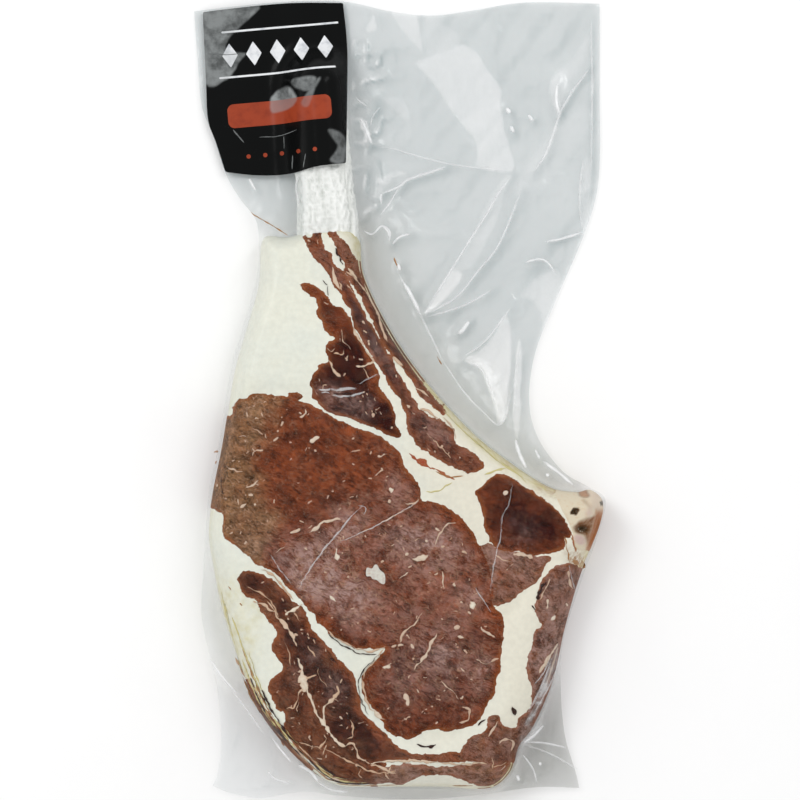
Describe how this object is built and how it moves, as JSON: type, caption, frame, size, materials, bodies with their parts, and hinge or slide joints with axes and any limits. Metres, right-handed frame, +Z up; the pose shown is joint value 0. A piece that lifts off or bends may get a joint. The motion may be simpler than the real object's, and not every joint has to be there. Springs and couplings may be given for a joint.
{
  "type": "prime rib steak in a sealed clear bag",
  "caption": "Raw bone-in prime rib steak, one rib thick, with a white bone guard, lying flat in a clear vacuum bag with a dark label at its top corner",
  "frame": {"origin": "middle of the rectangle round the bag, on the plane of its underside", "axes": "+Z up from the surface it lies on; +Y along the bag from its closed foot to its labelled top; +X to the side where the chine bone is"},
  "size_m": [0.189, 0.367, 0.0325],
  "materials": {
    "film": "clear thin film, glossy, with a faint grey haze",
    "label": "glossy black print",
    "lean": "moist raw lean beef, brown red",
    "fat": "firm cream beef fat, satin",
    "bone": "cut bone, matte",
    "guard": "white waxy bone guard cloth, matte"
  },
  "bodies": {
    "root": {"bag": "film", "label": "label"}
  },
  "joints": []
}
